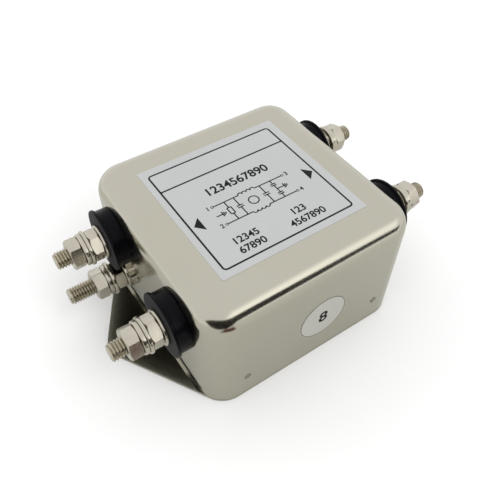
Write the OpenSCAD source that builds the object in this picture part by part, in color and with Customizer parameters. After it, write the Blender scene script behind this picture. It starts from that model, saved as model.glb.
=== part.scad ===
// Single-phase power line filter in a drawn metal case, with threaded stud terminals.
// Origin: centre of the mounting face, midway between the two ear holes.
// +X is the load end, -X the line end, -Y the side that carries the inspection sticker, +Z up.

/* [Case] */
// Length of the case between its two terminal walls
case_l = 65.5; // [62:0.5:90]
// Width of the case
case_w = 65; // [62:0.5:90]
// Height of the filter above the mounting face
case_h = 39; // [37.5:0.5:60]
// Thickness of the case's sheet
case_wall = 0.8; // [0.5:0.1:1.2]
// Radius of the upright corners
corner_r = 8; // [7:0.5:9]
// Radius of the rounded top edge
edge_r = 6.5; // [3:0.5:6.5]
// Diameter of the four stakes pressed into the case's sides
stake_d = 3; // [2:0.5:4]
// Distance of a stake from the end of its flange
stake_inset = 2.5; // [2.5:0.1:10]
// Distance of a stake below the top edge of its flange
stake_drop = 4.2; // [3.5:0.1:8]

/* [Base plate] */
// Thickness of the base plate
base_t = 1; // [0.8:0.1:1.5]
// Length of each ear beyond the case's end wall
ear_l = 14.75; // [13:0.25:20]
// Radius of an ear's round tip
ear_tip_r = 7; // [5:0.5:7]
// Diameter of the mounting hole in each ear
ear_hole_d = 5; // [3:0.1:6]
// Height of the base plate's side flanges above the mounting face
flange_h = 13; // [12:0.5:20]
// Distance of a side flange's ends from where the case's round corners begin
flange_inset = 0.25; // [0.25:0.25:8]
// Cut corners at the ends of the side flanges
flange_chamfer = 3; // [1:0.5:4]

/* [Terminal studs] */
// Thread diameter of the studs
stud_d = 5; // [4:0.5:5]
// Flat wall left between an inner bushing and the case's upright corner
side_margin = 0.7; // [0.2:0.1:3]
// Flat wall left between an inner bushing and the case's rounded top edge
top_margin = 0.25; // [0.25:0.25:2]
// Distance from the case's end wall to the tip of a power stud
stud_reach = 18.4; // [15:0.2:30]
// Distance from the case's end wall to the tip of the earth stud
earth_reach = 18.5; // [13:0.1:30]
// Distance of the earth stud from the live stud towards the middle
earth_shift = 1.8; // [0:0.1:6]
// Height of a stud's hexagonal head
head_h = 3.4; // [2:0.2:4]

/* [Bushings] */
// Diameter of the outer bushing's barrel
bushing_d = 16.8; // [14:0.1:17]
// Distance from the case's end wall to the outer bushing's face
bushing_h = 4.5; // [3:0.1:8]
// Width of the thin lip at the outer bushing's face, beyond its barrel
lip_w = 0.6; // [0.5:0.1:2]
// Thickness of the lip
lip_t = 0.9; // [0.6:0.1:2]
// Diameter of the spigot that passes through the case's wall
spigot_d = 9; // [7:0.5:10]
// Diameter of the inner bushing
inner_bushing_d = 14; // [12:0.5:14]
// Thickness of the inner bushing
inner_bushing_t = 2; // [1.5:0.1:3]

/* [Nuts and washers] */
// Width of the nuts and stud heads across their flats
nut_af = 8; // [7:0.1:8.2]
// Height of a clamp nut
clamp_h = 3.1; // [2.2:0.1:3.6]
// Height of a terminal nut
terminal_h = 3.6; // [2.2:0.1:4]
// Diameter of the flat washers
washer_d = 10; // [9:0.1:10.2]
// Thickness of the flat washers
washer_t = 1; // [0.6:0.1:1.2]
// Diameter of the split spring washers
spring_d = 9.2; // [8:0.1:9.6]
// Thickness of the split spring washers
spring_t = 1.3; // [1:0.1:1.5]
// Width of the gap in a spring washer
split_w = 1; // [0.6:0.1:1.4]
// Thickness of the toothed lock washer under the earth stud
lock_t = 1; // [0.6:0.1:1.2]
// Number of teeth on the lock washer
lock_teeth = 12; // [8:1:16]

/* [Label and sticker] */
// Length of the rating label
label_l = 44.5; // [30:0.5:46]
// Width of the rating label
label_w = 44; // [30:0.5:46]
// Thickness of the label's and the sticker's film
film_t = 0.1; // [0.1:0.05:0.2]
// Diameter of the inspection sticker
sticker_d = 15; // [10:0.5:16]
// Distance of the sticker's centre from the middle towards the load end
sticker_x = 2.4; // [-8:0.2:8]
// Height of the sticker's centre above the mounting face
sticker_z = 16.1; // [14:0.1:20]

/* [Inside] */
// Thickness of the circuit board
board_t = 1.6; // [1:0.1:2]
// Height of the spacers under the board
spacer_h = 2.4; // [2:0.1:2.8]
// Bore of the choke's ring core, as a share of its diameter
core_bore_share = 0.56; // [0.5:0.01:0.65]
// Height of the choke's ring core
core_h = 14; // [10:0.5:15]
// Diameter of the choke's winding wire
wire_d = 1.5; // [1:0.1:1.5]
// Gap between neighbouring turns of a winding in the core's bore
turn_gap = 0.5; // [0.5:0.1:2]
// Length of an X capacitor
x_cap_l = 22; // [18:0.5:23]
// Thickness of an X capacitor
x_cap_t = 6; // [4:0.5:6]
// Height of an X capacitor
x_cap_h = 14; // [10:0.5:14.5]
// Diameter of a Y capacitor
y_cap_d = 9; // [7:0.5:10]
// Thickness of a Y capacitor
y_cap_t = 4; // [3:0.5:4.5]
// Diameter of the bleeder resistor's body
resistor_d = 3.6; // [2.4:0.1:4]
// Length of the bleeder resistor's body
resistor_l = 10; // [6:0.5:11]

/* [Hidden] */
$fn = 96;

// Ends and sides of the filter
LINE = -1;
LOAD = 1;
LIVE = 1;
NEUTRAL = -1;

// Overrun of every cut past the face that it leaves
cut = 1;
// Radial clearance of a hole round what passes through it
fit_gap = 0.05;
// Gap between the earth stud's nuts or washers and the live bushing's lip
earth_gap = 0.05;
// Least gap between the earth stud's head and the circuit board
head_gap = 1;
// Depth of the four stakes
stake_depth = 0.5;
// Chamfer at a stud's tip
tip_chamfer = 0.5;
// Diameter of a nut's round face, as a share of its width across flats
nut_face_share = 0.95;
// Slant of the gap in a spring washer
split_slant = 35;
// Turn of the terminal nut, the clamp nut and the spring washer's gap about each stud
line_live_turns = [26.7, 40, 200];
line_neutral_turns = [18.4, 48, 150];
load_live_turns = [10, 35, 60];
load_neutral_turns = [22, 5, 300];
earth_turns = [54.9, 20, 250];
// How far the label's centre lies off the case's centre
label_shift = [-0.3, -0.7];
label_corner_r = 0.6;

// Places worked out from the sizes above
nut_ac = nut_af / cos(30);
lip_d = bushing_d + 2 * lip_w;
stud_y = case_w / 2 - corner_r - side_margin - inner_bushing_d / 2;
stud_z = case_h - edge_r - top_margin - inner_bushing_d / 2;
ear_hole_x = case_l / 2 + ear_l - ear_tip_r;
corner_x = case_l / 2 - corner_r;
corner_y = case_w / 2 - corner_r;
inner_x = case_l / 2 - case_wall;
inner_y = case_w / 2 - case_wall;
bore_d = stud_d + 2 * fit_gap;
flange_half = corner_x - flange_inset;
stake_x = flange_half - stake_inset;
stake_z = flange_h - stake_drop;

// Where each piece of a power stud's stack begins, outwards from the case's end wall
collar_at = bushing_h;
clamp_at = collar_at + washer_t;
flat_at = clamp_at + clamp_h;
spring_at = flat_at + washer_t;
nut_at = spring_at + spring_t;
// The same for the earth stud's stack
earth_collar_at = lock_t;
earth_clamp_at = earth_collar_at + washer_t;
earth_flat_at = earth_clamp_at + clamp_h;
earth_spring_at = earth_flat_at + washer_t;
earth_nut_at = earth_spring_at + spring_t;

// Insulation sheet, board and what stands on it
sheet_t = 0.4;
sheet_gap = 0.6;
board_gap = 0.7;
spacer_d = 5;
spacer_inset = 5;
spacer_z = base_t + sheet_t;
board_z = spacer_z + spacer_h;
board_top = board_z + board_t;

// The earth stud sits beside the live bushing's lip, as low as the board under its head allows
earth_reach_r = lip_d / 2 + max(nut_ac, washer_d) / 2 + earth_gap;
earth_drop = min(sqrt(pow(earth_reach_r, 2) - pow(earth_shift, 2)),
    stud_z - board_top - head_gap - nut_ac / 2);
earth_z = stud_z - earth_drop;
earth_y = stud_y - sqrt(pow(earth_reach_r, 2) - pow(earth_drop, 2));

// Ring lugs: each leans outwards from straight down, so its barrel clears the earth stud's head
lug_t = 0.8;
lug_d = 9;
lug_neck_w = 3;
lug_neck_l = 0.6;
lug_barrel_d = 3.2;
lug_barrel_l = 5;
lug_clearance = 0.4;
lead_d = 2;
lug_seat = case_wall + inner_bushing_t;
lug_barrel_at = nut_ac / 2 + lug_neck_l;
lug_barrel_end = lug_barrel_at + lug_barrel_l;
lug_barrel_x = case_l / 2 - lug_seat - lug_barrel_d / 2;
lug_lean = max(0, asin((nut_ac / 2 + lug_barrel_d / 2 + lug_clearance) / earth_reach_r)
    - atan2(stud_y - earth_y, earth_drop));
tag_d = 9;
tag_w = 5;
tag_reach = 9.5;
tag_lead_in = 1.5;

// The X capacitors stand beside the lugs' barrels, and the choke fills the room between them
cap_clearance = 0.3;
cap_gap = 1;
cap_edge_r = 0.8;
x_cap_x = lug_barrel_x - lug_barrel_d / 2 - cap_clearance - x_cap_t / 2;
y_cap_x = inner_x / 2;
y_cap_y = inner_y - base_t - cap_gap - y_cap_t;
y_cap_foot = 1;
lead_wire_d = 0.8;
resistor_end_l = 2.4;
resistor_waist = 0.4;
resistor_foot = 1;

// Choke: the core, and the loop of a winding round its section
choke_r = x_cap_x - x_cap_t / 2 - cap_gap;
core_edge_r = 1.2;
wind_gap = 0.15;
carrier_w = 2.6;
carrier_rise = 2;
core_d = 2 * (choke_r - wire_d - wind_gap);
core_bore = core_bore_share * core_d;
loop_half_w = (core_d - core_bore) / 4 + wire_d / 2 + wind_gap;
loop_half_h = core_h / 2 + wire_d / 2 + wind_gap;
loop_corner = 1.5;
lead_drop = 1.2;
core_r_mid = (core_d + core_bore) / 4;
core_z = board_top + lead_drop + loop_half_h + wire_d / 2;
wind_span = 142;
wind_sides = 6;
turns = floor(PI * wind_span / 180 * (core_r_mid - loop_half_w) / (wire_d + turn_gap));

// Plan outline of a box with rounded corners
module rounded_plan(l, w, r) {
    for (sx = [-1, 1], sy = [-1, 1])
        translate([sx * (l / 2 - r), sy * (w / 2 - r)]) circle(r);
    square([l, w - 2 * r], center = true);
    square([l - 2 * r, w], center = true);
}

// Section of a drawn wall's outside: upright side below, quarter round above
module wall_section(reach, h, r) {
    square([reach - r, h]);
    square([reach, h - r]);
    translate([reach - r, h - r]) circle(r);
}

// Closed block with round upright corners and a rounded top edge
module drawn_block(l, w, h, r_corner, r_edge) {
    cx = l / 2 - r_corner;
    cy = w / 2 - r_corner;
    for (i = [0:3])
        translate([(i == 0 || i == 3) ? cx : -cx, i < 2 ? cy : -cy, 0])
            rotate([0, 0, 90 * i])
                rotate_extrude(angle = 90) intersection() {
                    wall_section(r_corner, h, r_edge);
                    square([r_corner, h]);
                }
    for (s = [0, 180]) {
        rotate([0, 0, s]) translate([cx, cy, 0]) rotate([90, 0, 0])
            linear_extrude(2 * cy) intersection() {
                wall_section(r_corner, h, r_edge);
                square([r_corner, h]);
            }
        rotate([0, 0, s]) translate([-cx, cy, 0]) rotate([90, 0, 90])
            linear_extrude(2 * cx) intersection() {
                wall_section(r_corner, h, r_edge);
                square([r_corner, h]);
            }
    }
    translate([-cx, -cy, 0]) cube([2 * cx, 2 * cy, h]);
}

// Frames on the end walls: local +Z points outwards from the wall's outer face
module at_terminal(end, side) {
    translate([end * case_l / 2, side * stud_y, stud_z]) rotate([0, end * 90, 0]) children();
}

// Frame of the ring lug on a power stud: local +X points along the lug's barrel
module at_lug(end, side) {
    at_terminal(end, side) rotate([0, 0, end == LINE ? 180 - side * lug_lean : side * lug_lean])
        children();
}

module at_earth() {
    translate([-case_l / 2, earth_y, earth_z]) rotate([0, -90, 0]) children();
}

// One stake: a shallow cone through the sheet, seen from outside the wall at -Y
module stake(d, from, depth) {
    translate([0, from, 0]) rotate([-90, 0, 0]) cylinder(d1 = d, d2 = d / 2, h = depth);
}

module at_stakes() {
    for (turn = [0, 180], sx = [-1, 1])
        rotate([0, 0, turn]) translate([sx * stake_x, -case_w / 2, stake_z]) children();
}

module case_shell() {
    color("silver") difference() {
        union() {
            difference() {
                translate([0, 0, base_t])
                    drawn_block(case_l, case_w, case_h - base_t, corner_r, edge_r);
                translate([0, 0, base_t - cut])
                    drawn_block(case_l - 2 * case_wall, case_w - 2 * case_wall,
                        case_h - base_t - case_wall + cut, corner_r - case_wall,
                        edge_r - case_wall);
            }
            at_stakes() stake(stake_d, case_wall / 2, stake_depth + case_wall / 2);
        }
        at_stakes() stake(stake_d, 0, stake_depth);
        for (end = [LINE, LOAD], side = [LIVE, NEUTRAL])
            at_terminal(end, side) translate([0, 0, -case_wall - cut])
                cylinder(d = spigot_d + 2 * fit_gap, h = case_wall + 2 * cut);
        at_earth() translate([0, 0, -case_wall - cut])
            cylinder(d = bore_d, h = case_wall + 2 * cut);
    }
}

// Base plate outline: tangent lines run from the case's corners to each ear's round tip
module base_outline() {
    dx = ear_hole_x - corner_x;
    span = norm([dx, corner_y]);
    lean = atan2(dx, corner_y) - asin((corner_r - ear_tip_r) / span);
    out = [cos(lean), sin(lean)];
    rounded_plan(case_l, case_w, corner_r);
    for (end = [-1, 1]) {
        translate([end * ear_hole_x, 0]) circle(ear_tip_r);
        polygon([for (side = [-1, 1], far = side < 0 ? [0, 1] : [1, 0])
            far == 0
                ? [end * (corner_x + corner_r * out[0]), side * (corner_y + corner_r * out[1])]
                : [end * (ear_hole_x + ear_tip_r * out[0]), side * ear_tip_r * out[1]]]);
    }
}

// One side flange, standing on the plate inside the case's wall
module side_flange() {
    translate([0, inner_y - fit_gap, 0]) rotate([90, 0, 0]) linear_extrude(base_t)
        polygon([[-flange_half, 0], [flange_half, 0], [flange_half, flange_h - flange_chamfer],
            [flange_half - flange_chamfer, flange_h], [flange_chamfer - flange_half, flange_h],
            [-flange_half, flange_h - flange_chamfer]]);
}

module base_plate() {
    color("gainsboro") difference() {
        union() {
            linear_extrude(base_t) base_outline();
            side_flange();
            rotate([0, 0, 180]) side_flange();
        }
        at_stakes() translate([0, case_wall - cut, 0]) rotate([-90, 0, 0])
            cylinder(d = stake_d + 2 * fit_gap, h = base_t + 2 * cut);
        for (end = [LINE, LOAD])
            translate([end * ear_hole_x, 0, -cut]) cylinder(d = ear_hole_d, h = base_t + 2 * cut);
    }
}

module rating_label() {
    color("whitesmoke") translate([label_shift[0], label_shift[1], case_h])
        linear_extrude(film_t) rounded_plan(label_l, label_w, label_corner_r);
}

module inspection_sticker() {
    color("lightgrey") translate([sticker_x, -case_w / 2, sticker_z]) rotate([90, 0, 0])
        cylinder(d = sticker_d, h = film_t);
}

module insulation_sheet() {
    color("khaki") translate([0, 0, base_t]) linear_extrude(sheet_t)
        rounded_plan(2 * (inner_x - sheet_gap), 2 * (inner_y - base_t - sheet_gap),
            corner_r - case_wall);
}

module at_spacers() {
    for (sx = [-1, 1], sy = [-1, 1])
        translate([sx * (inner_x - board_gap - spacer_inset),
            sy * (inner_y - base_t - board_gap - spacer_inset), spacer_z]) children();
}

module board_spacers() {
    color("white") at_spacers() cylinder(d = spacer_d, h = spacer_h);
}

module circuit_board() {
    color("darkgreen") translate([0, 0, board_z]) linear_extrude(board_t)
        rounded_plan(2 * (inner_x - board_gap), 2 * (inner_y - base_t - board_gap),
            corner_r - case_wall - board_gap);
}

module choke_core() {
    w = (core_d - core_bore) / 2;
    color("darkslategray") translate([0, 0, core_z - core_h / 2])
        rotate_extrude() translate([core_r_mid, core_h / 2]) rounded_plan(w, core_h, core_edge_r);
}

// Carrier: feet under the core and a wall through its bore that keeps the windings apart
module choke_carrier() {
    foot = core_d / 2;
    seat = core_z - core_h / 2;
    tongue = core_bore / 2 - wind_gap;
    top = core_z + core_h / 2 + carrier_rise;
    color("ivory") translate([0, carrier_w / 2, 0]) rotate([90, 0, 0])
        linear_extrude(carrier_w)
            polygon([[-foot, board_top], [foot, board_top], [foot, seat], [tongue, seat],
                [tongue, top], [-tongue, top], [-tongue, seat], [-foot, seat]]);
}

// One turn of a winding: eight stations on a rounded loop round the core's section
loop_shares = [[1, -1, 0, 1], [1, 1, 0, -1], [1, 1, -1, 0], [-1, 1, 1, 0],
    [-1, 1, 0, -1], [-1, -1, 0, 1], [-1, -1, 1, 0], [1, -1, -1, 0]];

function polar(r, a, z) = [r * cos(a), r * sin(a), z];

function loop_point(i, start) =
    let (s = loop_shares[i % 8], a = start + wind_span * i / (8 * turns))
    polar(core_r_mid + s[0] * loop_half_w + s[2] * loop_corner, a,
        core_z + s[1] * loop_half_h + s[3] * loop_corner);

// The wire's route: up from the board, round the core, and down to the board again
function winding_path(start) =
    let (end = start + wind_span, r = core_r_mid + loop_half_w)
    concat([polar(r, start, board_top)],
        [for (i = [0:8 * turns - 1]) loop_point(i, start)],
        [polar(r, end, core_z - loop_half_h), polar(r, end, board_top)]);

// Least gap of a winding to itself, between stations more than half a turn apart
function least_gap(path) =
    min([for (i = [0:len(path) - 6], j = [i + 5:len(path) - 1]) norm(path[i] - path[j])]) - wire_d;
echo(winding_gap = least_gap(winding_path(90 - wind_span / 2)));

function unit(v) = v / norm(v);

// Ring of points round station i of a path, square to the wire there
function wire_ring(path, i) =
    let (last = len(path) - 1,
        t = unit(i == 0 ? [0, 0, 1] : i == last ? [0, 0, -1]
            : unit(path[i + 1] - path[i]) + unit(path[i] - path[i - 1])),
        a = atan2(path[i][1], path[i][0]),
        side = [-sin(a), cos(a), 0],
        u = unit(side - (side * t) * t),
        v = cross(t, u))
    [for (k = [0:wind_sides - 1])
        path[i] + wire_d / 2 * (cos(360 * k / wind_sides) * u + sin(360 * k / wind_sides) * v)];

module wire(path) {
    n = wind_sides;
    last = len(path) - 1;
    points = [for (i = [0:last]) each wire_ring(path, i)];
    walls = [for (i = [0:last - 1], k = [0:n - 1])
        each let (a = i * n + k, b = i * n + (k + 1) % n)
            [[a, b, b + n], [a, b + n, a + n]]];
    caps = [[for (k = [n - 1:-1:0]) k], [for (k = [0:n - 1]) last * n + k]];
    polyhedron(points, concat(walls, caps), convexity = 10);
}

module choke_winding_live() {
    color("chocolate") wire(winding_path(90 - wind_span / 2));
}

module choke_winding_neutral() {
    color("chocolate") wire(winding_path(270 - wind_span / 2));
}

// Box capacitor standing on the board
module x_capacitor() {
    color("gold") translate([0, 0, board_top]) linear_extrude(x_cap_h)
        rounded_plan(x_cap_t, x_cap_l, cap_edge_r);
}

module x_capacitor_line() {
    translate([-x_cap_x, 0, 0]) x_capacitor();
}

module x_capacitor_load() {
    translate([x_cap_x, 0, 0]) x_capacitor();
}

// Disc capacitors on two leads, one on each side of the board
module y_capacitors() {
    color("royalblue") for (side = [LIVE, NEUTRAL])
        translate([y_cap_x, side * y_cap_y, 0]) {
            translate([0, y_cap_t / 2, board_top + y_cap_foot + y_cap_d / 2])
                rotate([90, 0, 0]) cylinder(d = y_cap_d, h = y_cap_t);
            for (s = [-1, 1])
                translate([s * y_cap_d / 4, 0, board_top])
                    cylinder(d = lead_wire_d, h = y_cap_foot + y_cap_d / 2);
        }
}

// Axial resistor with a waisted body and two bent leads
module bleeder_resistor() {
    z = board_top + resistor_foot + resistor_d / 2;
    reach = resistor_l / 2 + lead_wire_d;
    color("tan") translate([-y_cap_x, -y_cap_y, 0]) {
        translate([-resistor_l / 2, 0, z]) rotate([0, 90, 0]) {
            cylinder(d = resistor_d - 2 * resistor_waist, h = resistor_l);
            for (at = [0, resistor_l - resistor_end_l])
                translate([0, 0, at]) cylinder(d = resistor_d, h = resistor_end_l);
        }
        translate([-reach, 0, z]) rotate([0, 90, 0]) cylinder(d = lead_wire_d, h = 2 * reach);
        for (s = [-1, 1])
            translate([s * reach, 0, board_top]) cylinder(d = lead_wire_d, h = z - board_top);
    }
}

// Leads from the lugs' barrels and the earth tag down to the board
module lead_wires() {
    lead_l = (stud_z - board_top) / cos(lug_lean) - lug_barrel_end + lead_d;
    color("firebrick") difference() {
        union() {
            for (end = [LINE, LOAD], side = [LIVE, NEUTRAL])
                at_lug(end, side) translate([lug_barrel_end, 0, -lug_seat - lug_barrel_d / 2])
                    rotate([0, 90, 0]) cylinder(d = lead_d, h = lead_l);
            translate([-inner_x + lug_t + lead_d / 2, earth_y - tag_reach + tag_lead_in, 0])
                cylinder(d = lead_d, h = earth_z + tag_w / 2);
        }
        translate([0, 0, board_top - case_h / 2]) cube([case_l, case_w, case_h], center = true);
    }
}

module inner_bushings() {
    color("dimgray") for (end = [LINE, LOAD], side = [LIVE, NEUTRAL])
        at_terminal(end, side) translate([0, 0, -case_wall - inner_bushing_t])
            difference() {
                cylinder(d = inner_bushing_d, h = inner_bushing_t);
                translate([0, 0, -cut])
                    cylinder(d = bore_d, h = inner_bushing_t + 2 * cut);
                translate([0, 0, inner_bushing_t / 2])
                    cylinder(d = spigot_d + 2 * fit_gap, h = inner_bushing_t);
            }
}

// Ring lug under a stud's head, with a neck and a crimped barrel
module ring_lugs() {
    color("lightsteelblue") for (end = [LINE, LOAD], side = [LIVE, NEUTRAL])
        at_lug(end, side) {
            translate([0, 0, -lug_seat - lug_t]) difference() {
                union() {
                    cylinder(d = lug_d, h = lug_t);
                    translate([0, -lug_neck_w / 2, 0])
                        cube([lug_barrel_at + lug_barrel_d / 2, lug_neck_w, lug_t]);
                }
                translate([0, 0, -cut]) cylinder(d = bore_d, h = lug_t + 2 * cut);
            }
            translate([lug_barrel_at, 0, -lug_seat - lug_barrel_d / 2]) rotate([0, 90, 0])
                cylinder(d = lug_barrel_d, h = lug_barrel_l);
        }
}

// Solder tag under the earth stud's head, flat on the case's inner face
module earth_tag() {
    color("lightsteelblue") translate([-inner_x, earth_y, earth_z]) difference() {
        union() {
            rotate([0, 90, 0]) cylinder(d = tag_d, h = lug_t);
            translate([0, -tag_reach, -tag_w / 2]) cube([lug_t, tag_reach, tag_w]);
        }
        translate([-cut, 0, 0]) rotate([0, 90, 0]) cylinder(d = bore_d, h = lug_t + 2 * cut);
    }
}

// Stud from its hexagonal head inside the case to its chamfered tip
module stud(inside, reach) {
    color("lightgray") {
        translate([0, 0, -inside - head_h]) cylinder(d = nut_ac, h = head_h, $fn = 6);
        translate([0, 0, -inside]) cylinder(d = stud_d, h = inside + reach - tip_chamfer);
        translate([0, 0, reach - tip_chamfer])
            cylinder(d1 = stud_d, d2 = stud_d - 2 * tip_chamfer, h = tip_chamfer);
    }
}

module power_stud() {
    stud(lug_seat + lug_t, stud_reach);
}

// Outer bushing: barrel, thin lip at its face and a spigot that passes through the wall
module bushing() {
    color("black") difference() {
        union() {
            cylinder(d = bushing_d, h = bushing_h);
            translate([0, 0, bushing_h - lip_t]) cylinder(d = lip_d, h = lip_t);
            translate([0, 0, -case_wall - inner_bushing_t / 2 + fit_gap])
                cylinder(d = spigot_d, h = case_wall + inner_bushing_t / 2);
        }
        translate([0, 0, -case_wall - inner_bushing_t])
            cylinder(d = bore_d, h = case_wall + inner_bushing_t + bushing_h + cut);
    }
}

// Thin hexagon nut: two cones chamfer the corners of both faces
module nut(at, turn, h) {
    face_d = nut_face_share * nut_af;
    wide_d = face_d + h / tan(30);
    color("lightgray") translate([0, 0, at]) difference() {
        intersection() {
            rotate([0, 0, turn]) cylinder(d = nut_ac, h = h, $fn = 6);
            union() {
                cylinder(d1 = face_d, d2 = wide_d, h = h / 2);
                translate([0, 0, h / 2]) cylinder(d1 = wide_d, d2 = face_d, h = h / 2);
            }
        }
        translate([0, 0, -cut]) cylinder(d = bore_d, h = h + 2 * cut);
    }
}

module flat_washer(at) {
    color("gainsboro") translate([0, 0, at]) difference() {
        cylinder(d = washer_d, h = washer_t);
        translate([0, 0, -cut]) cylinder(d = bore_d, h = washer_t + 2 * cut);
    }
}

// Split spring washer, pressed flat, with a slanting gap
module spring_washer(at, turn) {
    color("silver") translate([0, 0, at]) rotate([0, 0, turn]) difference() {
        cylinder(d = spring_d, h = spring_t);
        translate([0, 0, -cut]) cylinder(d = bore_d, h = spring_t + 2 * cut);
        translate([spring_d / 2, 0, spring_t / 2]) rotate([split_slant, 0, 0])
            cube([spring_d, split_w, 4 * spring_t], center = true);
    }
}

// Toothed lock washer: wedge-shaped gaps between teeth round its rim
module lock_washer(at) {
    notch = PI * washer_d / lock_teeth / 2;
    color("silver") translate([0, 0, at]) difference() {
        cylinder(d = washer_d, h = lock_t);
        translate([0, 0, -cut]) cylinder(d = bore_d, h = lock_t + 2 * cut);
        for (i = [0:lock_teeth - 1])
            rotate([0, 0, 360 * i / lock_teeth]) translate([washer_d / 2, 0, lock_t / 2])
                rotate([0, 0, 45]) cube([notch, notch, lock_t + 2 * cut], center = true);
    }
}

module line_live_stud() { at_terminal(LINE, LIVE) power_stud(); }
module line_live_bushing() { at_terminal(LINE, LIVE) bushing(); }
module line_live_collar_washer() { at_terminal(LINE, LIVE) flat_washer(collar_at); }
module line_live_clamp_nut() {
    at_terminal(LINE, LIVE) nut(clamp_at, line_live_turns[1], clamp_h);
}
module line_live_flat_washer() { at_terminal(LINE, LIVE) flat_washer(flat_at); }
module line_live_spring_washer() {
    at_terminal(LINE, LIVE) spring_washer(spring_at, line_live_turns[2]);
}
module line_live_terminal_nut() {
    at_terminal(LINE, LIVE) nut(nut_at, line_live_turns[0], terminal_h);
}

module line_neutral_stud() { at_terminal(LINE, NEUTRAL) power_stud(); }
module line_neutral_bushing() { at_terminal(LINE, NEUTRAL) bushing(); }
module line_neutral_collar_washer() { at_terminal(LINE, NEUTRAL) flat_washer(collar_at); }
module line_neutral_clamp_nut() {
    at_terminal(LINE, NEUTRAL) nut(clamp_at, line_neutral_turns[1], clamp_h);
}
module line_neutral_flat_washer() { at_terminal(LINE, NEUTRAL) flat_washer(flat_at); }
module line_neutral_spring_washer() {
    at_terminal(LINE, NEUTRAL) spring_washer(spring_at, line_neutral_turns[2]);
}
module line_neutral_terminal_nut() {
    at_terminal(LINE, NEUTRAL) nut(nut_at, line_neutral_turns[0], terminal_h);
}

module load_live_stud() { at_terminal(LOAD, LIVE) power_stud(); }
module load_live_bushing() { at_terminal(LOAD, LIVE) bushing(); }
module load_live_collar_washer() { at_terminal(LOAD, LIVE) flat_washer(collar_at); }
module load_live_clamp_nut() {
    at_terminal(LOAD, LIVE) nut(clamp_at, load_live_turns[1], clamp_h);
}
module load_live_flat_washer() { at_terminal(LOAD, LIVE) flat_washer(flat_at); }
module load_live_spring_washer() {
    at_terminal(LOAD, LIVE) spring_washer(spring_at, load_live_turns[2]);
}
module load_live_terminal_nut() {
    at_terminal(LOAD, LIVE) nut(nut_at, load_live_turns[0], terminal_h);
}

module load_neutral_stud() { at_terminal(LOAD, NEUTRAL) power_stud(); }
module load_neutral_bushing() { at_terminal(LOAD, NEUTRAL) bushing(); }
module load_neutral_collar_washer() { at_terminal(LOAD, NEUTRAL) flat_washer(collar_at); }
module load_neutral_clamp_nut() {
    at_terminal(LOAD, NEUTRAL) nut(clamp_at, load_neutral_turns[1], clamp_h);
}
module load_neutral_flat_washer() { at_terminal(LOAD, NEUTRAL) flat_washer(flat_at); }
module load_neutral_spring_washer() {
    at_terminal(LOAD, NEUTRAL) spring_washer(spring_at, load_neutral_turns[2]);
}
module load_neutral_terminal_nut() {
    at_terminal(LOAD, NEUTRAL) nut(nut_at, load_neutral_turns[0], terminal_h);
}

module earth_stud() { at_earth() stud(case_wall + lug_t, earth_reach); }
module earth_lock_washer() { at_earth() lock_washer(0); }
module earth_collar_washer() { at_earth() flat_washer(earth_collar_at); }
module earth_clamp_nut() { at_earth() nut(earth_clamp_at, earth_turns[1], clamp_h); }
module earth_flat_washer() { at_earth() flat_washer(earth_flat_at); }
module earth_spring_washer() { at_earth() spring_washer(earth_spring_at, earth_turns[2]); }
module earth_terminal_nut() { at_earth() nut(earth_nut_at, earth_turns[0], terminal_h); }

base_plate();
case_shell();
rating_label();
inspection_sticker();
insulation_sheet();
board_spacers();
circuit_board();
choke_core();
choke_carrier();
choke_winding_live();
choke_winding_neutral();
x_capacitor_line();
x_capacitor_load();
y_capacitors();
bleeder_resistor();
lead_wires();
inner_bushings();
ring_lugs();
earth_tag();
line_live_stud();
line_live_bushing();
line_live_collar_washer();
line_live_clamp_nut();
line_live_flat_washer();
line_live_spring_washer();
line_live_terminal_nut();
line_neutral_stud();
line_neutral_bushing();
line_neutral_collar_washer();
line_neutral_clamp_nut();
line_neutral_flat_washer();
line_neutral_spring_washer();
line_neutral_terminal_nut();
load_live_stud();
load_live_bushing();
load_live_collar_washer();
load_live_clamp_nut();
load_live_flat_washer();
load_live_spring_washer();
load_live_terminal_nut();
load_neutral_stud();
load_neutral_bushing();
load_neutral_collar_washer();
load_neutral_clamp_nut();
load_neutral_flat_washer();
load_neutral_spring_washer();
load_neutral_terminal_nut();
earth_stud();
earth_lock_washer();
earth_collar_washer();
earth_clamp_nut();
earth_flat_washer();
earth_spring_washer();
earth_terminal_nut();
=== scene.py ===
import math

import bmesh
import bpy
from mathutils import Matrix, Vector


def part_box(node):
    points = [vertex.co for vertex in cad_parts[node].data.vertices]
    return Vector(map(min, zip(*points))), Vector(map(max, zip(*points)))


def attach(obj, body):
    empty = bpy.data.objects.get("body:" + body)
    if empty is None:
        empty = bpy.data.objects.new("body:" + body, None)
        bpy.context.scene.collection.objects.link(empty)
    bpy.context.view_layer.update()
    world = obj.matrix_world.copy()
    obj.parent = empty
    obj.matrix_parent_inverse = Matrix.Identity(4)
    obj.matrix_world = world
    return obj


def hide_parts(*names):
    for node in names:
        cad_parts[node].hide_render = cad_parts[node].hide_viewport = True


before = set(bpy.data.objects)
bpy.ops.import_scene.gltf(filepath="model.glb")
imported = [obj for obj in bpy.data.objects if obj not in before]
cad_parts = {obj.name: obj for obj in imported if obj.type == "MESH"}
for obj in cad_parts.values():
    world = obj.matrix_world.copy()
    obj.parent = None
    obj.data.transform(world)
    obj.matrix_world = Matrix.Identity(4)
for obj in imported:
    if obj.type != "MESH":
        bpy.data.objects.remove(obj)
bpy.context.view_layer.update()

# The case is one shell of steel sheet, deep-drawn, so its corners and its top edge are round, and
# nickel-plated to a satin gloss with the faint waves that drawing leaves. Two stakes in each long
# side grip the flange of the base plate inside it.
MM = 0.001
case_l, case_w, case_h = 65.5 * MM, 65 * MM, 39 * MM
case_wall, base_t = 0.8 * MM, 1 * MM
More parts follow.
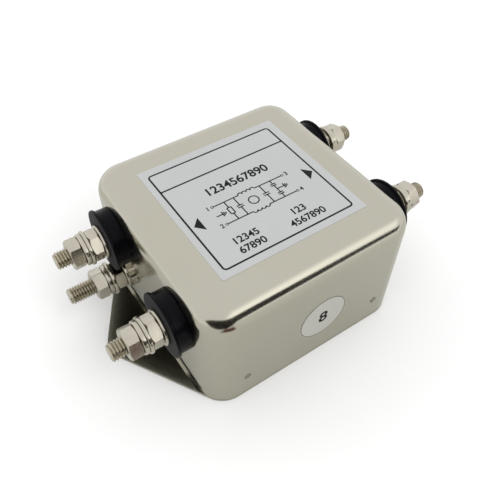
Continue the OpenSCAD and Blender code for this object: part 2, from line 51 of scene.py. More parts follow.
corner_r, edge_r = 8 * MM, 6.5 * MM
stake_x, stake_z, stake_r, stake_depth = 22 * MM, 8.8 * MM, 1.5 * MM, 0.5 * MM


def tone(red, green, blue):
    """A colour from its values on a screen, 0 to 255."""
    shares = [c / 255 for c in (red, green, blue)]
    return [*(((c + 0.055) / 1.055) ** 2.4 if c > 0.04045 else c / 12.92 for c in shares), 1]


# Uneven finish: colour and gloss that drift over a surface, with a fine grain on top
uneven = bpy.data.node_groups.new("uneven_finish", "ShaderNodeTree")
for way, label, kind in (
        ("INPUT", "Color", "Color"), ("INPUT", "Drift Color", "Color"),
        ("INPUT", "Drift Scale", "Float"), ("INPUT", "Grain Scale", "Float"),
        ("INPUT", "Smooth", "Float"), ("INPUT", "Rough", "Float"),
        ("OUTPUT", "Color", "Color"), ("OUTPUT", "Roughness", "Float"),
        ("OUTPUT", "Grain", "Float")):
    uneven.interface.new_socket(name=label, in_out=way, socket_type=f"NodeSocket{kind}")
taken, given = uneven.nodes.new("NodeGroupInput"), uneven.nodes.new("NodeGroupOutput")
place = uneven.nodes.new("ShaderNodeTexCoord")
drift, grain = uneven.nodes.new("ShaderNodeTexNoise"), uneven.nodes.new("ShaderNodeTexNoise")
drift.inputs["Detail"].default_value = 3
grain.inputs["Detail"].default_value = 4
tint = uneven.nodes.new("ShaderNodeMix")
tint.data_type = "RGBA"
gloss = uneven.nodes.new("ShaderNodeMapRange")
blend = uneven.nodes.new("ShaderNodeMath")
blend.operation = "MULTIPLY_ADD"
blend.inputs[1].default_value = 0.5
halved = uneven.nodes.new("ShaderNodeMath")
halved.operation = "MULTIPLY"
halved.inputs[1].default_value = 0.5
for start, end in [
    (place.outputs["Object"], drift.inputs["Vector"]),
    (place.outputs["Object"], grain.inputs["Vector"]),
    (taken.outputs["Drift Scale"], drift.inputs["Scale"]),
    (taken.outputs["Grain Scale"], grain.inputs["Scale"]),
    (drift.outputs["Fac"], tint.inputs["Factor"]), (taken.outputs["Color"], tint.inputs["A"]),
    (taken.outputs["Drift Color"], tint.inputs["B"]),
    (tint.outputs["Result"], given.inputs["Color"]),
    (grain.outputs["Fac"], halved.inputs[0]), (drift.outputs["Fac"], blend.inputs[0]),
    (halved.outputs[0], blend.inputs[2]), (blend.outputs[0], gloss.inputs["Value"]),
    (taken.outputs["Smooth"], gloss.inputs["To Min"]),
    (taken.outputs["Rough"], gloss.inputs["To Max"]),
    (gloss.outputs["Result"], given.inputs["Roughness"]),
    (grain.outputs["Fac"], given.inputs["Grain"])]:
    uneven.links.new(start, end)
gloss.inputs["From Min"].default_value = 0.35
gloss.inputs["From Max"].default_value = 0.65


def finish(name, color, drift_color, drift_scale=40, grain_scale=900, smooth=0.2, rough=0.4,
           wave=0.0, wave_scale=60, bump=0.0, **sockets):
    """A material whose colour and gloss drift, with a slow wave or a fine grain in its surface."""
    mat = bpy.data.materials.new(name)
    mat.use_nodes = True
    tree, shader = mat.node_tree, mat.node_tree.nodes["Principled BSDF"]
    coat = tree.nodes.new("ShaderNodeGroup")
    coat.node_tree = uneven
    for label, value in [("Color", color), ("Drift Color", drift_color),
                         ("Drift Scale", drift_scale), ("Grain Scale", grain_scale),
                         ("Smooth", smooth), ("Rough", rough)]:
        coat.inputs[label].default_value = value
    tree.links.new(coat.outputs["Color"], shader.inputs["Base Color"])
    tree.links.new(coat.outputs["Roughness"], shader.inputs["Roughness"])
    if wave or bump:
        relief = tree.nodes.new("ShaderNodeBump")
        relief.inputs["Strength"].default_value = 1
        relief.inputs["Distance"].default_value = wave or bump
        tree.links.new(relief.outputs["Normal"], shader.inputs["Normal"])
    if wave:
        where, swell = tree.nodes.new("ShaderNodeTexCoord"), tree.nodes.new("ShaderNodeTexNoise")
        swell.inputs["Scale"].default_value = wave_scale
        swell.inputs["Detail"].default_value = 1
        tree.links.new(where.outputs["Object"], swell.inputs["Vector"])
        tree.links.new(swell.outputs["Fac"], relief.inputs["Height"])
    elif bump:
        tree.links.new(coat.outputs["Grain"], relief.inputs["Height"])
    for label, value in sockets.items():
        shader.inputs[label.replace("_", " ")].default_value = value
    return mat


def piece(bm, name, mat, body, nodes, sharp=30, weighted=False):
    """Makes a bmesh one piece, smooth but for edges sharper than that many degrees."""
    bmesh.ops.recalc_face_normals(bm, faces=bm.faces)
    for face in bm.faces:
        face.smooth = True
    for edge in bm.edges:
        edge.smooth = edge.is_manifold and edge.calc_face_angle(0) < math.radians(sharp)
    mesh = bpy.data.meshes.new(name)
    bm.to_mesh(mesh)
    bm.free()
    obj = bpy.data.objects.new(name, mesh)
    bpy.context.collection.objects.link(obj)
    mesh.materials.append(mat)
    if weighted:
        even = obj.modifiers.new("even", "WEIGHTED_NORMAL")
        even.keep_sharp = True
    if nodes:
        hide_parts(*nodes)
    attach(obj, body)
    return obj


def cut_with(bm, tools):
    """Cuts the closed shapes in tools out of bm, and gives bm back."""
    blocks = []
    for shape in (bm, tools):
        bmesh.ops.recalc_face_normals(shape, faces=shape.faces)
        mesh = bpy.data.meshes.new("blank")
        shape.to_mesh(mesh)
        shape.free()
        blocks.append(bpy.data.objects.new("blank", mesh))
        bpy.context.collection.objects.link(blocks[-1])
    cut = blocks[0].modifiers.new("cut", "BOOLEAN")
    cut.object = blocks[1]
    cut.operation = "DIFFERENCE"
    cut.solver = "EXACT"
    bpy.context.view_layer.update()
    graph = bpy.context.evaluated_depsgraph_get()
    made = bpy.data.meshes.new_from_object(blocks[0].evaluated_get(graph))
    result = bmesh.new()
    result.from_mesh(made)
    for block in blocks:
        bpy.data.objects.remove(block)
    return result


case = bmesh.new()
bmesh.ops.create_cube(case, size=1)
bmesh.ops.scale(case, vec=(case_l, case_w, case_h - base_t), verts=case.verts)
bmesh.ops.translate(case, vec=(0, 0, (case_h + base_t) / 2), verts=case.verts)
upright = [e for e in case.edges if abs(e.verts[0].co.z - e.verts[1].co.z) > base_t]
bmesh.ops.bevel(case, geom=upright, offset=corner_r, offset_type="OFFSET", segments=24, profile=0.5,
                affect="EDGES", material=-1)
rim = [e for e in case.edges if min(v.co.z for v in e.verts) > case_h - MM / 10]
bmesh.ops.bevel(case, geom=rim, offset=edge_r, offset_type="OFFSET", segments=20, profile=0.5,
                affect="EDGES", material=-1)
floor_face = [f for f in case.faces if f.normal.z < -0.9]
bmesh.ops.delete(case, geom=floor_face, context="FACES")
bmesh.ops.remove_doubles(case, verts=case.verts, dist=MM / 1000)
bmesh.ops.recalc_face_normals(case, faces=case.faces)
bmesh.ops.solidify(case, geom=case.faces[:], thickness=case_wall)
stakes = bmesh.new()
for sx in (-1, 1):
    for sy in (-1, 1):
        lean = Matrix.Rotation(math.radians(90 * sy), 4, "X")
        spot = Matrix.Translation((sx * stake_x, sy * (case_w / 2 - stake_depth / 2), stake_z))
        bmesh.ops.create_cone(stakes, cap_ends=True, segments=32, radius1=stake_r / 2,
                              radius2=stake_r, depth=stake_depth * 1.02,
                              matrix=spot @ lean.inverted())
case = cut_with(case, stakes)
plating = finish("satin_nickel", tone(193, 190, 177), tone(186, 183, 169), drift_scale=25,
                 grain_scale=1500, smooth=0.13, rough=0.2, wave=0.08 * MM, wave_scale=45,
                 Metallic=1)
piece(case, "case", plating, "filter", ["case_shell"], sharp=38, weighted=True)

# The base plate is one piece of the same plated sheet, cut to a long hexagon with round tips. Its
# ears reach past both ends of the case, each with a screw hole, and its edges are sheared.
ear_x, ear_r, ear_hole_r, shear = 40.5 * MM, 7 * MM, 2.5 * MM, 0.12 * MM
flange_l, flange_h, flange_gap = 49 * MM, 13 * MM, 0.05 * MM
plate = bmesh.new()
for sx in (-1, 1):
    spots = [(sx * ear_x, 0, ear_r)]
    spots += [(sx * (case_l / 2 - corner_r), sy * (case_w / 2 - corner_r), corner_r)
              for sy in (-1, 1)]
    for x, y, r in spots:
        bmesh.ops.create_cone(plate, cap_ends=True, segments=96, radius1=r, radius2=r, depth=base_t,
                              matrix=Matrix.Translation((x, y, base_t / 2)))
hull = bmesh.ops.convex_hull(plate, input=plate.verts[:])
bmesh.ops.delete(plate, geom=[g for g in hull["geom_interior"] + hull["geom_unused"]
                              if isinstance(g, bmesh.types.BMVert)], context="VERTS")
inside = [f for f in plate.faces if f not in set(hull["geom"])]
bmesh.ops.delete(plate, geom=inside, context="FACES")
bmesh.ops.dissolve_limit(plate, angle_limit=math.radians(1), verts=plate.verts[:],
                         edges=plate.edges[:])
holes = bmesh.new()
for sx in (-1, 1):
    bmesh.ops.create_cone(holes, cap_ends=True, segments=64, radius1=ear_hole_r, radius2=ear_hole_r,
                          depth=3 * base_t, matrix=Matrix.Translation((sx * ear_x, 0, base_t / 2)))
plate = cut_with(plate, holes)
sheared = [e for e in plate.edges if e.is_manifold and e.calc_face_angle(0) > math.radians(60)]
bmesh.ops.bevel(plate, geom=sheared, offset=shear, offset_type="OFFSET", segments=2, profile=0.5,
                affect="EDGES", material=-1)
for sy in (-1, 1):
    made = bmesh.ops.create_cube(plate, size=1)["verts"]
    bmesh.ops.scale(plate, vec=(flange_l, base_t, flange_h - base_t), verts=made)
    bmesh.ops.translate(plate, vec=(0, sy * (case_w / 2 - case_wall - flange_gap - base_t / 2),
                                    (flange_h + base_t) / 2), verts=made)
plate_finish = finish("bright_nickel_sheet", tone(176, 174, 160), tone(166, 164, 150),
                      drift_scale=30, grain_scale=1500, smooth=0.08, rough=0.14, wave=0.08 * MM,
                      Metallic=1)
piece(plate, "base", plate_finish, "filter", ["base_plate"], weighted=True)

# The rating label is a matt silver film stuck to the top. Its print is black: a ruled border with
# a bare heading band, a pointer to each end, the filter's circuit in standard symbols, and plain
# numbers at the circuit's terminals and where the title and the ratings stand on a real one.
label_l, label_w, film_t, film_corner_r = 44.5 * MM, 44 * MM, 0.08 * MM, 0.6 * MM
label_at = Vector((-0.3 * MM, -0.7 * MM, case_h))
ink_t = 0.02 * MM


def slab(bm, length, width, thick, middle, turn=0.0):
    """Adds a flat block of that size, turned about its upright middle line."""
    verts = bmesh.ops.create_cube(bm, size=1)["verts"]
    bmesh.ops.scale(bm, vec=(length, width, thick), verts=verts)
    bmesh.ops.rotate(bm, cent=(0, 0, 0), matrix=Matrix.Rotation(turn, 3, "Z"), verts=verts)
    bmesh.ops.translate(bm, vec=middle, verts=verts)


film = bmesh.new()
slab(film, label_l, label_w, film_t, label_at + Vector((0, 0, film_t / 2)))
corners = [e for e in film.edges if abs(e.verts[0].co.z - e.verts[1].co.z) > film_t / 2]
bmesh.ops.bevel(film, geom=corners, offset=film_corner_r, offset_type="OFFSET", segments=6,
                profile=0.5, affect="EDGES", material=-1)
film_finish = finish("matt_silver_film", tone(194, 196, 196), tone(187, 189, 189), drift_scale=60,
                     grain_scale=4000, smooth=0.42, rough=0.52, Metallic=0.35)
piece(film, "rating_label_film", film_finish, "filter", ["rating_label"])

ink = bmesh.new()
print_z = label_at.z + film_t + ink_t / 2


def line(x0, y0, x1, y1, width=0.34):
    """Prints a straight line between two places on the label, all in millimetres."""
    slab(ink, math.hypot(x1 - x0, y1 - y0) * MM, width * MM, ink_t,
         ((x0 + x1) / 2 * MM, (y0 + y1) / 2 * MM, print_z), math.atan2(y1 - y0, x1 - x0))


def ring(x, y, radius, width=0.34, steps=40):
    """Prints a ring on the label, all in millimetres."""
    verts = [ink.verts.new(((x + r) * MM, y * MM, z)) for r, z in (
        (radius - width / 2, print_z - ink_t / 2), (radius + width / 2, print_z - ink_t / 2),
        (radius + width / 2, print_z + ink_t / 2), (radius - width / 2, print_z + ink_t / 2))]
    edges = [ink.edges.new((verts[i], verts[(i + 1) % 4])) for i in range(4)]
    bmesh.ops.spin(ink, geom=verts + edges, cent=(x * MM, y * MM, print_z), axis=(0, 0, 1),
                   angle=math.tau, steps=steps, use_merge=True)


# The border with its round corners, the line under the heading band, and the pointers
left, right, low, high, band = -20.5, 19.2, -20.3, 18.5, 11.2
rule, round_r = 0.5, 0.9
for y in (low, high):
    line(left + round_r, y, right - round_r, y, rule)
for x in (left, right):
    line(x, low + round_r, x, high - round_r, rule)
for cx, cy, turn in ((left, low, 180), (right, low, 270), (right, high, 0), (left, high, 90)):
    middle = (cx + (round_r if cx == left else -round_r), cy + (round_r if cy == low else -round_r))
    for k in range(6):
        a, b = (math.radians(turn + 15 * (k + d)) for d in (0, 1))
        line(middle[0] + round_r * math.cos(a), middle[1] + round_r * math.sin(a),
             middle[0] + round_r * math.cos(b), middle[1] + round_r * math.sin(b), rule)
line(left, band, right, band, rule)
for tip, foot, half, y in ((-19.4, -17.1, 2.45, -4.4), (18.5, 16.15, 2.45, -4.1)):
    pointer = [ink.verts.new((x * MM, (y + dy) * MM, print_z - ink_t / 2))
               for x, dy in ((tip, 0), (foot, half), (foot, -half))]
    face = ink.faces.new(pointer)
    up = bmesh.ops.extrude_face_region(ink, geom=[face])["geom"]
    bmesh.ops.translate(ink, vec=(0, 0, ink_t),
                        verts=[g for g in up if isinstance(g, bmesh.types.BMVert)])
# The circuit's two rails, with a small ring at each end and the choke's turns as humps
rail_high, rail_low, start, stop = -0.9, -8.05, -11.6, 10.1
middle = (rail_high + rail_low) / 2
end_r, hump_r, humps_at = 0.35, 0.65, -3.9
for y in (rail_high, rail_low):
    line(start, y, humps_at, y)
    line(humps_at + 8 * hump_r, y, stop, y)
    ring(start - end_r, y, end_r, 0.2, 20)
    ring(stop + end_r, y, end_r, 0.2, 20)
    side = 1 if y == rail_high else -1
    for k in range(4):
        hump = humps_at + (2 * k + 1) * hump_r
        for j in range(6):
            a, b = (math.radians(180 - 30 * (j + d)) for d in (0, 1))
            line(hump + hump_r * math.cos(a), y + side * hump_r * math.sin(a),
                 hump + hump_r * math.cos(b), y + side * hump_r * math.sin(b))
# Between the rails: the choke's core, the resistor, and a capacitor on either side of the choke
ring(-1.3, middle, 1.4)
resistor_x, resistor_half_w, resistor_half_h = -8.4, 0.6, 1.2
for side, rail in ((1, rail_high), (-1, rail_low)):
    y = middle + side * resistor_half_h
    line(resistor_x, rail, resistor_x, y)
    line(resistor_x - resistor_half_w, y, resistor_x + resistor_half_w, y)
for x in (resistor_x - resistor_half_w, resistor_x + resistor_half_w):
    line(x, middle - resistor_half_h, x, middle + resistor_half_h)
across_gap, across_half_w = 0.35, 0.95
for x in (-5.5, 2.8):
    for side, rail in ((1, rail_high), (-1, rail_low)):
        y = middle + side * across_gap
        line(x, rail, x, y)
        line(x - across_half_w, y, x + across_half_w, y)
# Two capacitors from the rails to the middle, and the earth marks at both ends of the middle
earthed_x, earthed_at, earthed_gap, earthed_half_w = 6.3, 1.8, 0.3, 0.85
for side, rail in ((1, rail_high), (-1, rail_low)):
    plates = middle + side * earthed_at
    line(earthed_x, rail, earthed_x, plates + side * earthed_gap)
    line(earthed_x, middle, earthed_x, plates - side * earthed_gap)
    for y in (plates - earthed_gap, plates + earthed_gap):
        line(earthed_x - earthed_half_w, y, earthed_x + earthed_half_w, y)
for wire_from, mark_x in ((earthed_x, 8.6), (-12.8, -10.9)):
    line(wire_from, middle, mark_x, middle)
    for k, half in enumerate((0.9, 0.6, 0.3)):
        line(mark_x + 0.45 * k, middle - half, mark_x + 0.45 * k, middle + half)
ink_finish = finish("black_ink", tone(12, 12, 14), tone(20, 20, 22), drift_scale=200,
                    grain_scale=3000, smooth=0.5, rough=0.65, Specular_IOR_Level=0.2)
piece(ink, "label_print", ink_finish, "filter", ())

# The round inspection sticker is a pale film on the near side, printed in black with a thin outline
# and a plain number.
sticker_x, sticker_z, sticker_r, sticker_t = 2.4 * MM, 16.1 * MM, 7.5 * MM, 0.08 * MM
sticker = bmesh.new()
upright_way = Matrix.Rotation(math.radians(90), 4, "X")
bmesh.ops.create_cone(sticker, cap_ends=True, segments=96, radius1=sticker_r, radius2=sticker_r,
                      depth=sticker_t, matrix=Matrix.Translation(
                          (sticker_x, -case_w / 2 - sticker_t / 2, sticker_z)) @ upright_way)
sticker_finish = finish("pale_film", tone(184, 183, 176), tone(176, 175, 167), drift_scale=80,
                        grain_scale=2500, smooth=0.3, rough=0.45, Metallic=0.2)
piece(sticker, "inspection_sticker_film", sticker_finish, "filter", ["inspection_sticker"])
on_sticker = Matrix.Translation(
    (sticker_x, -case_w / 2 - sticker_t - ink_t / 2, sticker_z)) @ upright_way
outline, outer_r, inner_r = bmesh.new(), sticker_r - 0.04 * MM, sticker_r - 0.16 * MM
verts = [outline.verts.new((r, 0, z)) for r, z in (
    (inner_r, ink_t / 2), (outer_r, ink_t / 2), (outer_r, -ink_t / 2), (inner_r, -ink_t / 2))]
edges = [outline.edges.new((verts[i], verts[(i + 1) % 4])) for i in range(4)]
bmesh.ops.spin(outline, geom=verts + edges, cent=(0, 0, 0), axis=(0, 0, 1), angle=math.tau,
               steps=96, use_merge=True)
bmesh.ops.transform(outline, verts=outline.verts, matrix=on_sticker)
piece(outline, "sticker_outline", ink_finish, "filter", ())


def numeral(text, size, spot, name):
    """Prints a plain number in its place."""
    letters = bpy.data.curves.new(name, "FONT")
    letters.body, letters.size, letters.extrude, letters.offset = text, size, ink_t / 2, size / 45
    letters.align_x, letters.align_y = "CENTER", "CENTER"
    flat = bpy.data.objects.new(name, letters)
    bm = bmesh.new()
    bm.from_mesh(bpy.data.meshes.new_from_object(flat))
    bpy.data.objects.remove(flat)
    bmesh.ops.remove_doubles(bm, verts=bm.verts, dist=MM / 1000)
    bmesh.ops.transform(bm, matrix=spot, verts=bm.verts)
    piece(bm, name, ink_finish, "filter", ())


for text, x, y, size in (
        ("1", start - 1.7, rail_high, 2), ("2", start - 1.7, rail_low, 2),
        ("3", stop + 1.7, rail_high, 2), ("4", stop + 1.7, rail_low, 2),
        ("12345", -10.3, -14.1, 3.1), ("67890", -10.3, -17.4, 3.1), ("123", 6.2, -13.8, 3.1),
        ("4567890", 6.8, -17.3, 3.1), ("1234567890", -0.9, 4.3, 4)):
    numeral(text, size * MM, Matrix.Translation((x * MM, y * MM, print_z)), f"label_number_{text}")
numeral("8", 6 * MM, on_sticker, "sticker_number")

# Each power stud passes through a black moulded bushing that insulates it from the case: a neck in
# the wall, and a glossy barrel on it with a thin wider lip round its matt face. That face is
# painted mid grey, partly for its matt surface and partly as a painted reflection of grazing light.
bore_r, neck_r, barrel_r, lip_r = 2.55, 4.5, 8.4, 9
neck_end, lip_at, face_at = -1.75, 3.6, 4.5
stud_y, stud_z = 16.8 * MM, 25.25 * MM
terminals = {"line_live": (-1, stud_y, stud_z), "line_neutral": (-1, -stud_y, stud_z),
             "load_live": (1, stud_y, stud_z), "load_neutral": (1, -stud_y, stud_z)}
earth_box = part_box("earth_stud")
earth_y, earth_z = (earth_box[0][1] + earth_box[1][1]) / 2, (earth_box[0][2] + earth_box[1][2]) / 2
stations = {**terminals, "earth": (-1, earth_y, earth_z)}


def on_wall(station):
    """The place of a terminal: its own upright axis points straight out of the case's end."""
    end, y, z = stations[station]
    outwards = Matrix.Rotation(math.radians(90 * end), 4, "Y")
    return Matrix.Translation((end * case_l / 2, y, z)) @ outwards


def turned(profile, steps=96, angle=math.tau):
    """A bmesh turned on a lathe from a closed profile of (radius, height) in millimetres."""
    bm = bmesh.new()
    verts = [bm.verts.new((r * MM, 0, z * MM)) for r, z in profile]
    edges = [bm.edges.new((verts[i], verts[(i + 1) % len(verts)])) for i in range(len(verts))]
    full = angle == math.tau
    bmesh.ops.spin(bm, geom=verts + edges, cent=(0, 0, 0), axis=(0, 0, 1), angle=angle, steps=steps,
                   use_merge=full)
    if not full:
        bmesh.ops.holes_fill(bm, edges=[e for e in bm.edges if e.is_boundary], sides=0)
    bmesh.ops.recalc_face_normals(bm, faces=bm.faces)
    return bm


def soften(bm, offset):
    """Rounds every edge sharper than 50 degrees."""
    hard = [e for e in bm.edges if e.is_manifold and e.calc_face_angle(0) > math.radians(50)]
    bmesh.ops.bevel(bm, geom=hard, offset=offset * MM, offset_type="OFFSET", segments=3,
                    profile=0.5, affect="EDGES", material=-1)


moulding = finish("black_moulding", tone(5, 5, 9), tone(8, 8, 13), drift_scale=120,
                  grain_scale=1800, smooth=0.2, rough=0.34, bump=0.006 * MM,
                  Specular_IOR_Level=0.08)
# The lip's outer face: matt, and painted a lighter grey than the black barrel, partly as a painted
# reflection
matt_face_painted_sheen = finish("matt_moulding_painted_sheen", tone(42, 43, 44), tone(30, 31, 33), drift_scale=150,
                      grain_scale=2600, smooth=0.6, rough=0.8, bump=0.02 * MM,
                      Specular_IOR_Level=0.2)
for station in terminals:
    bushing = turned([(bore_r, neck_end), (neck_r, neck_end), (neck_r, 0), (barrel_r, 0),
                      (barrel_r, lip_at), (lip_r, lip_at), (lip_r, face_at), (bore_r, face_at)])
    soften(bushing, 0.22)
    for face in bushing.faces:
        face.material_index = int(face.calc_center_median().z > (face_at - 0.05) * MM)
    bmesh.ops.transform(bushing, matrix=on_wall(station), verts=bushing.verts)
    made = piece(bushing, f"{station}_moulded_bushing", moulding, "filter", [f"{station}_bushing"])
    made.data.materials.append(matt_face_painted_sheen)

# The studs are steel screws with a rolled thread over their whole length, nickel-plated. Their
# hexagon heads sit on the ring lugs inside the case, and their tips are chamfered.
# A stud's reach is where its head ends and where its tip is, in millimetres from the wall.
pitch, root_r, crest_r, tip_r, tip_slope, steps = 0.8, 2.02, 2.5, 1.9, 1.1, 32
head_r, head_h, neck_h = 4.6188, 3.4, 0.6
reach = {station: (-3.6, 18.4) for station in terminals} | {"earth": (-1.6, 18.5)}


def threaded(low, high):
    """A bmesh of a right-hand thread between two heights, its chamfered tip at the upper one."""
    bm = bmesh.new()
    turns = math.ceil((high - low) / pitch) + 2
    verts = [bm.verts.new((r * MM, 0, (low - 1.5 * pitch + share * pitch) * MM))
             for r, share in ((root_r, 0), (crest_r, 0.4), (crest_r, 0.58), (root_r, 1))]
    edges = [bm.edges.new(verts[i:i + 2]) for i in range(3)]
    bmesh.ops.spin(bm, geom=verts + edges, cent=(0, 0, 0), axis=(0, 0, 1), angle=math.tau * turns,
                   steps=steps * turns, dvec=(0, 0, pitch * MM / steps), use_merge=False)
    bmesh.ops.remove_doubles(bm, verts=bm.verts, dist=MM / 500)
    for height, way in ((low, -1), (high, 1)):
        cut = bmesh.ops.bisect_plane(bm, geom=bm.verts[:] + bm.edges[:] + bm.faces[:],
                                     plane_co=(0, 0, height * MM), plane_no=(0, 0, way),
                                     clear_outer=True)["geom_cut"]
        bmesh.ops.edgeloop_fill(bm, edges=[g for g in cut if isinstance(g, bmesh.types.BMEdge)])
    for vert in bm.verts:
        limit = tip_r * MM + (high * MM - vert.co.z) * tip_slope
        radius = math.hypot(vert.co.x, vert.co.y)
        if radius > limit:
            vert.co.x, vert.co.y = vert.co.x * limit / radius, vert.co.y * limit / radius
    return bm


bright = finish("bright_nickel", tone(202, 197, 184), tone(186, 180, 166), drift_scale=300,
                grain_scale=2500, smooth=0.14, rough=0.26, bump=0.004 * MM, Metallic=1)
thread_finish = finish("nickel_thread", tone(198, 192, 176), tone(180, 173, 155), drift_scale=500,
                       grain_scale=3000, smooth=0.24, rough=0.36, Metallic=1)
for station in stations:
    under, tip = reach[station]
    stud = threaded(under + neck_h / 3, tip)
    for sides, r, depth, at in ((6, head_r, head_h, under - head_h / 2),
                                (steps, root_r, neck_h, under + neck_h / 6)):
        bmesh.ops.create_cone(stud, cap_ends=True, segments=sides, radius1=r * MM, radius2=r * MM,
                              depth=depth * MM, matrix=Matrix.Translation((0, 0, at * MM)))
    bmesh.ops.transform(stud, matrix=on_wall(station), verts=stud.verts)
    piece(stud, f"{station}_threaded_stud", thread_finish, "filter", [f"{station}_stud"],
          sharp=40)

# Hexagon nuts, 8 mm across their flats: a thinner one clamps the stud and its bushing to the case,
# the outer one clamps the customer's ring terminal. Both faces are chamfered, all plated.
# The turns are those of the terminal nut, the clamp nut and the spring washer's split, in degrees.
turns = {"line_live": (26.7, 40, 200), "line_neutral": (18.4, 48, 150), "load_live": (10, 35, 60),
         "load_neutral": (22, 5, 300), "earth": (54.9, 20, 250)}
nut_af, clamp_h, terminal_h, face_r, mouth, corner_cut = 8, 3.1, 3.6, 3.8, 0.35, 0.14
washer_t, spring_t = 1, 1.3
stack_at = {station: face_at for station in terminals} | {"earth": 1}


def hexagon_nut(at, turn, nut_h):
    """A bmesh of a nut of that height, its inner face that many millimetres from the wall."""
    wide = face_r + nut_h / 2 / math.tan(math.radians(30))
    bm = turned([(bore_r, mouth), (bore_r, nut_h - mouth), (bore_r + mouth, nut_h),
                 (face_r, nut_h), (wide, nut_h / 2), (face_r, 0), (bore_r + mouth, 0)])
    for k in range(6):
        a = math.radians(turn + 30 + 60 * k)
        way = Vector((math.cos(a), math.sin(a), 0))
        cut = bmesh.ops.bisect_plane(bm, geom=bm.verts[:] + bm.edges[:] + bm.faces[:],
                                     dist=MM / 10000, plane_co=way * nut_af / 2 * MM, plane_no=way,
                                     clear_outer=True)["geom_cut"]
        bmesh.ops.edgeloop_fill(bm, edges=[g for g in cut if isinstance(g, bmesh.types.BMEdge)])
    corner = [e for e in bm.edges if e.is_manifold and e.calc_face_angle(0) > math.radians(50)
              and abs(e.verts[0].co.z - e.verts[1].co.z) > nut_h / 3 * MM
              and math.hypot(*e.verts[0].co.xy) > (nut_af / 2 + 0.3) * MM]
    bmesh.ops.bevel(bm, geom=corner, offset=corner_cut * MM, offset_type="OFFSET", segments=3,
                    profile=0.5, affect="EDGES", material=-1)
    bmesh.ops.translate(bm, vec=(0, 0, at * MM), verts=bm.verts)
    return bm


for station in stations:
    clamp_at = stack_at[station] + washer_t
    nut_at = clamp_at + clamp_h + washer_t + spring_t
    for kind, at, turn, nut_h, body in (
            ("clamp_nut", clamp_at, turns[station][1], clamp_h, "filter"),
            ("terminal_nut", nut_at, turns[station][0], terminal_h, f"{station}_nut")):
        nut = hexagon_nut(at, turn, nut_h)
        bmesh.ops.transform(nut, matrix=on_wall(station), verts=nut.verts)
        piece(nut, f"{station}_{kind}_hexagon", bright, body, [f"{station}_{kind}"],
              sharp=22)

# Flat washers stamped from sheet, and split spring washers wound from square wire: one flat washer
# under the clamp nut, and a flat and a spring washer that press on the ring terminal.
washer_r, spring_r, split, slant = 5, 4.6, 16, 14
for station in stations:
    flat_at = stack_at[station] + washer_t + clamp_h
    for kind, at, body in (("collar_washer", stack_at[station], "filter"),
                           ("flat_washer", flat_at, f"{station}_washers")):
        washer = turned([(bore_r, at), (washer_r, at), (washer_r, at + washer_t),
                         (bore_r, at + washer_t)], 72)
        soften(washer, 0.28)
        bmesh.ops.transform(washer, matrix=on_wall(station), verts=washer.verts)
        piece(washer, f"{station}_{kind}_stamping", bright, body, [f"{station}_{kind}"],
              sharp=40)
    spring = turned([(bore_r, 0), (spring_r, 0), (spring_r, spring_t), (bore_r, spring_t)], 72,
                    math.radians(360 - split))
    soften(spring, 0.3)
    for vert in spring.verts:
        vert.co = Matrix.Rotation(math.radians(slant * vert.co.z / spring_t / MM), 3, "Z") @ vert.co
    bmesh.ops.rotate(spring, cent=(0, 0, 0), verts=spring.verts,
                     matrix=Matrix.Rotation(math.radians(turns[station][2]), 3, "Z"))
    bmesh.ops.translate(spring, vec=(0, 0, (flat_at + washer_t) * MM), verts=spring.verts)
    bmesh.ops.transform(spring, matrix=on_wall(station), verts=spring.verts)
    piece(spring, f"{station}_split_spring", bright, f"{station}_washers",
          [f"{station}_spring_washer"], sharp=40)

# Inside the sealed case: circuit board, choke, capacitors, resistor, leads, lugs and their
# insulation. They keep the shapes that the model gives them, and so does the toothed washer that
# locks the earth stud on the wall.
inner_finishes = {
    "insulation_sheet": finish("varnished_paper", tone(196, 172, 110), tone(182, 156, 92),
                               rough=0.5),
    "board_spacers": finish("white_nylon", tone(226, 224, 212), tone(216, 214, 200), rough=0.5),
    "circuit_board": finish("green_laminate", tone(34, 92, 48), tone(26, 78, 40), smooth=0.25),
    "choke_core": finish("grey_ferrite", tone(62, 62, 66), tone(50, 50, 54), smooth=0.5, rough=0.7),
    "choke_carrier": finish("ivory_nylon", tone(224, 216, 190), tone(212, 204, 176), rough=0.5),
    "choke_winding_live": finish("enamelled_copper", tone(176, 84, 40), tone(150, 66, 30),
                                 Metallic=0.9),
    "x_capacitor_line": finish("yellow_capacitor_case", tone(222, 176, 52), tone(212, 164, 44),
                               rough=0.45),
    "y_capacitors": finish("blue_dipped_coat", tone(40, 96, 168), tone(34, 84, 150), smooth=0.12,
                           rough=0.25),
    "bleeder_resistor": finish("tan_lacquer", tone(206, 178, 132), tone(196, 166, 118),
                               smooth=0.25),
    "lead_wires": finish("red_sleeve", tone(172, 44, 36), tone(158, 36, 30), smooth=0.3),
    "inner_bushings": finish("grey_moulding", tone(90, 90, 92), tone(80, 80, 82), rough=0.5),
    "ring_lugs": finish("tin_plate", tone(200, 198, 190), tone(186, 183, 174), Metallic=1),
}
inner_finishes["choke_winding_neutral"] = inner_finishes["choke_winding_live"]
inner_finishes["x_capacitor_load"] = inner_finishes["x_capacitor_line"]
inner_finishes["earth_tag"] = inner_finishes["ring_lugs"]
inner_finishes["earth_lock_washer"] = bright
for name, mat in inner_finishes.items():
    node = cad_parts[name]
    node.data.materials.clear()
    node.data.materials.append(mat)

# Studio: a white floor and room, a soft lamp in front and one behind, and cards that only show in
# the metal, as the photographer's room did: a bright one, darker ones on and over the floor, and
# a bent dark screen in front. Their sizes and places are in metres.


